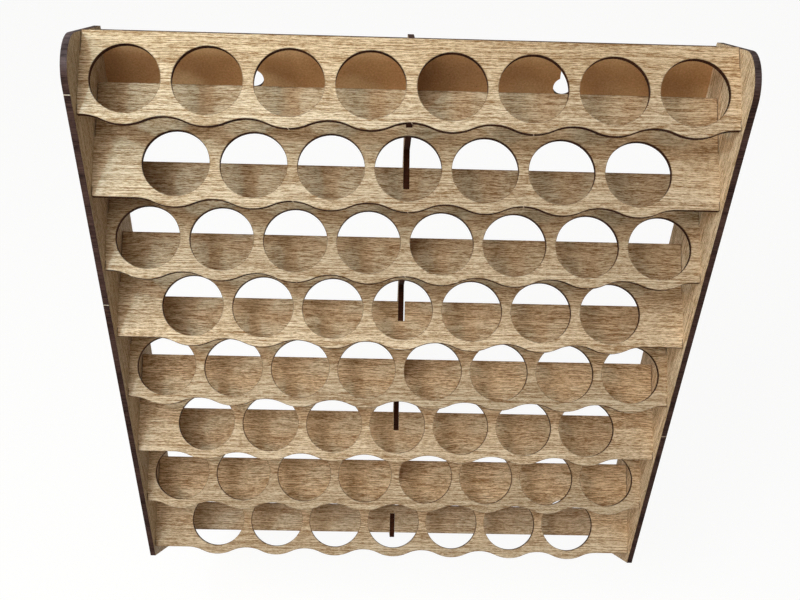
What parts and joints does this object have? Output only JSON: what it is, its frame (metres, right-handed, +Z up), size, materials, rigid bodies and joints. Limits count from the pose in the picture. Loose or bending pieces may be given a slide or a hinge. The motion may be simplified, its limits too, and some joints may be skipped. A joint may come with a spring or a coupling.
{
  "type": "wall-hung paint rack",
  "caption": "Wall-hung rack of thin slotted board: sloping tiers of round bottle holes with wavy front edges, held between two tall side panels.",
  "frame": {"origin": "on the wall plane, midway between the two points that the rack hangs from, which are the upper ends of the two keyholes' necks", "axes": "+X to the right as seen from the room, +Y into the wall, +Z up"},
  "size_m": [0.3428, 0.0717, 0.4595],
  "materials": {
    "oak_faced_board": "matt",
    "bare_board": "matt"
  },
  "bodies": {
    "root": {"left_side_panel": "oak_faced_board", "right_side_panel": "oak_faced_board", "holder_tier_1": "oak_faced_board", "holder_tier_2": "oak_faced_board", "holder_tier_3": "oak_faced_board", "holder_tier_4": "oak_faced_board", "holder_tier_5": "oak_faced_board", "holder_tier_6": "oak_faced_board", "holder_tier_7": "oak_faced_board", "holder_tier_8": "oak_faced_board", "bottom_shelf": "oak_faced_board", "centre_divider": "oak_faced_board", "back_panel": "bare_board"}
  },
  "joints": []
}
